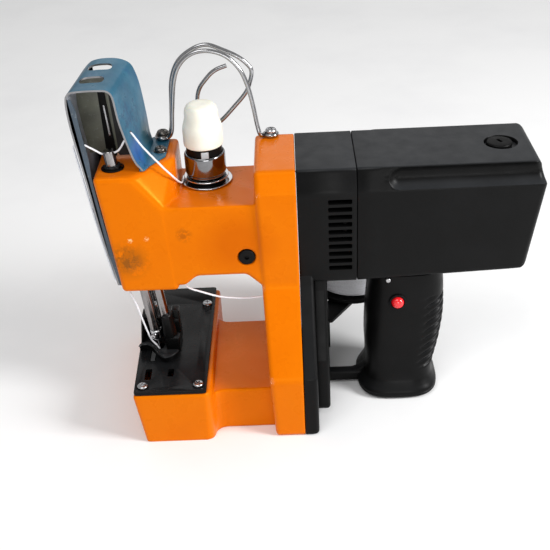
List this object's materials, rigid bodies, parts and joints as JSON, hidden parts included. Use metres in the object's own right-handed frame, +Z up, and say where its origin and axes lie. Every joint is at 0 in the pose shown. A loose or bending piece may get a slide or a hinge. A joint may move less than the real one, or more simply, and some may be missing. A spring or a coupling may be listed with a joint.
{
  "type": "bag closer sewing machine",
  "caption": "Hand-held bag closing sewing machine with enamelled casting, motor body, handle, needle guard, tension unit and thread cone.",
  "frame": {"origin": "on the floor, under the middle of the bed block, on the bed cover's underside", "axes": "+X from the needle end to the motor end, +Y away from the push-button side, +Z up"},
  "size_m": [0.3018, 0.1728, 0.2568],
  "materials": {
    "arm_plug": "black plastic",
    "armature": "laminated steel and copper winding",
    "bearing_front": "machined steel",
    "bearing_rear": "machined steel",
    "bed_cover": "machined steel",
    "belt_cover_rear": "black moulded plastic, satin",
    "brush_cap_bottom": "black moulded plastic, satin",
    "brush_cap_top": "black moulded plastic, satin",
    "connecting_rod": "machined steel",
    "cord_gland": "black rubber",
    "drive_belt": "black rubber",
    "drive_case": "black moulded plastic, satin",
    "driven_pulley": "machined steel",
    "feed_dog": "machined steel",
    "frame_casting": "glossy orange machine enamel",
    "guard_screw_far": "machined steel",
    "guard_screw_near": "machined steel",
    "handle_far": "black moulded plastic, satin",
    "handle_near": "black moulded plastic, satin",
    "hanger_screw": "machined steel",
    "looper": "machined steel",
    "looper_shaft": "machined steel",
    "main_shaft": "machined steel",
    "motor_bearing_front": "machined steel",
    "motor_bearing_rear": "machined steel",
    "motor_fan": "black moulded plastic, satin",
    "motor_housing": "black moulded plastic, satin",
    "motor_pulley": "machined steel",
    "motor_stator": "laminated steel",
    "needle": "machined steel",
    "needle_bar": "polished hard chrome",
    "needle_bar_bush_lower": "sintered bronze",
    "needle_bar_bush_upper": "sintered bronze",
    "needle_bar_guard": "bent sheet steel with a blue film",
    "needle_clamp": "polished hard chrome",
    "needle_plate": "blackened steel, semi-gloss",
    "plate_screw_1": "machined steel",
    "plate_screw_2": "machined steel",
    "plate_screw_3": "machined steel",
    "plate_screw_4": "machined steel",
    "presser_bar": "polished hard chrome",
    "presser_foot": "dark hardened steel",
    "presser_spring": "machined steel",
    "rocker_arm": "machined steel",
    "rocker_pivot": "machined steel",
    "spool_bracket": "black enamel",
    "spool_plate": "black plastic",
    "switch_body": "black moulded plastic, satin",
    "tension_cap": "ivory moulded plastic",
    "tension_cup": "bright chrome",
    "tension_disc_lower": "bright chrome",
    "tension_disc_upper": "bright chrome",
    "tension_spring": "machined steel",
    "tension_stud": "machined steel",
    "thread_cone": "cross-wound white thread",
    "thread_needle": "white twisted thread",
    "thread_upper": "white twisted thread",
    "trigger_button": "red moulded plastic",
    "wire_hanger": "bright chromed wire"
  },
  "bodies": {
    "frame": {"arm_plug": "arm_plug", "bearing_front": "bearing_front", "bearing_rear": "bearing_rear", "bed_cover": "bed_cover", "belt_cover_rear": "belt_cover_rear", "brush_cap_bottom": "brush_cap_bottom", "brush_cap_top": "brush_cap_top", "cord_gland": "cord_gland", "drive_belt": "drive_belt", "drive_case": "drive_case", "frame_casting": "frame_casting", "guard_screw_far": "guard_screw_far", "guard_screw_near": "guard_screw_near", "handle_far": "handle_far", "handle_near": "handle_near", "hanger_screw": "hanger_screw", "motor_bearing_front": "motor_bearing_front", "motor_bearing_rear": "motor_bearing_rear", "motor_housing": "motor_housing", "motor_stator": "motor_stator", "needle_bar_bush_lower": "needle_bar_bush_lower", "needle_bar_bush_upper": "needle_bar_bush_upper", "needle_bar_guard": "needle_bar_guard", "needle_plate": "needle_plate", "plate_screw_1": "plate_screw_1", "plate_screw_2": "plate_screw_2", "plate_screw_3": "plate_screw_3", "plate_screw_4": "plate_screw_4", "presser_spring": "presser_spring", "rocker_pivot": "rocker_pivot", "spool_bracket": "spool_bracket", "spool_plate": "spool_plate", "switch_body": "switch_body", "tension_cup": "tension_cup", "tension_disc_lower": "tension_disc_lower", "tension_disc_upper": "tension_disc_upper", "tension_spring": "tension_spring", "tension_stud": "tension_stud", "thread_upper": "thread_upper", "wire_hanger": "wire_hanger"},
    "motor_rotor": {"armature": "armature", "motor_fan": "motor_fan", "motor_pulley": "motor_pulley"},
    "main_drive": {"main_shaft": "main_shaft", "driven_pulley": "driven_pulley"},
    "needle_bar": {"needle_bar": "needle_bar", "needle_clamp": "needle_clamp", "needle": "needle", "thread_needle": "thread_needle"},
    "rocker": {"rocker_arm": "rocker_arm"},
    "rod": {"connecting_rod": "connecting_rod"},
    "feed": {"feed_dog": "feed_dog"},
    "looper": {"looper": "looper", "looper_shaft": "looper_shaft"},
    "presser": {"presser_bar": "presser_bar", "presser_foot": "presser_foot"},
    "cap": {"tension_cap": "tension_cap"},
    "button": {"trigger_button": "trigger_button"},
    "cone": {"thread_cone": "thread_cone"}
  },
  "joints": [
    {"name": "motor_spin", "type": "hinge", "parent": "frame", "child": "motor_rotor", "pos_m": [0.17, 0, 0.148], "axis": [1, 0, 0], "continuous": true},
    {"name": "main_shaft_spin", "type": "hinge", "parent": "frame", "child": "main_drive", "pos_m": [0.05, 0, 0.024], "axis": [1, 0, 0], "continuous": true},
    {"name": "needle_slide", "type": "slide", "parent": "frame", "child": "needle_bar", "axis": [-0.1079, 0, 0.9942], "range_m": [0, 0.028]},
    {"name": "rocker_swing", "type": "hinge", "parent": "frame", "child": "rocker", "pos_m": [0.057, 0, 0.129], "axis": [0, 1, 0], "range_deg": [0, 20]},
    {"name": "rod_slide", "type": "slide", "parent": "frame", "child": "rod", "axis": [0, 0, 1], "range_m": [-0.0072, 0]},
    {"name": "feed_slide", "type": "slide", "parent": "frame", "child": "feed", "axis": [0, 1, 0], "range_m": [0, 0.006]},
    {"name": "looper_rock", "type": "hinge", "parent": "frame", "child": "looper", "pos_m": [0.006, 0, 0.011], "axis": [0, 1, 0], "range_deg": [0, 7]},
    {"name": "presser_lift", "type": "slide", "parent": "frame", "child": "presser", "axis": [-0.1079, 0, 0.9942], "range_m": [0, 0.005], "stiffness_N_per_m": 1500, "deforming": ["presser_spring"]},
    {"name": "cap_turn", "type": "hinge", "parent": "frame", "child": "cap", "pos_m": [0.031, 0.008, 0.2], "axis": [0, 0, 1], "range_deg": [-360, 360]},
    {"name": "button_press", "type": "slide", "parent": "frame", "child": "button", "axis": [0, 1, 0], "range_m": [0, 0.0035], "stiffness_N_per_m": 400},
    {"name": "cone_spin", "type": "hinge", "parent": "frame", "child": "cone", "pos_m": [0.134, 0.073, 0.042], "axis": [0, 0, 1], "continuous": true}
  ],
  "couplings": [
    {"joint": "main_shaft_spin", "follows": "motor_spin", "ratio": 0.36842},
    {"joint": "rocker_swing", "follows": "needle_slide", "rad_per_m": 12.23},
    {"joint": "rod_slide", "follows": "needle_slide", "ratio": -0.2473},
    {"joint": "feed_slide", "follows": "needle_slide", "ratio": 0.2142},
    {"joint": "looper_rock", "follows": "needle_slide", "rad_per_m": 4.36}
  ]
}
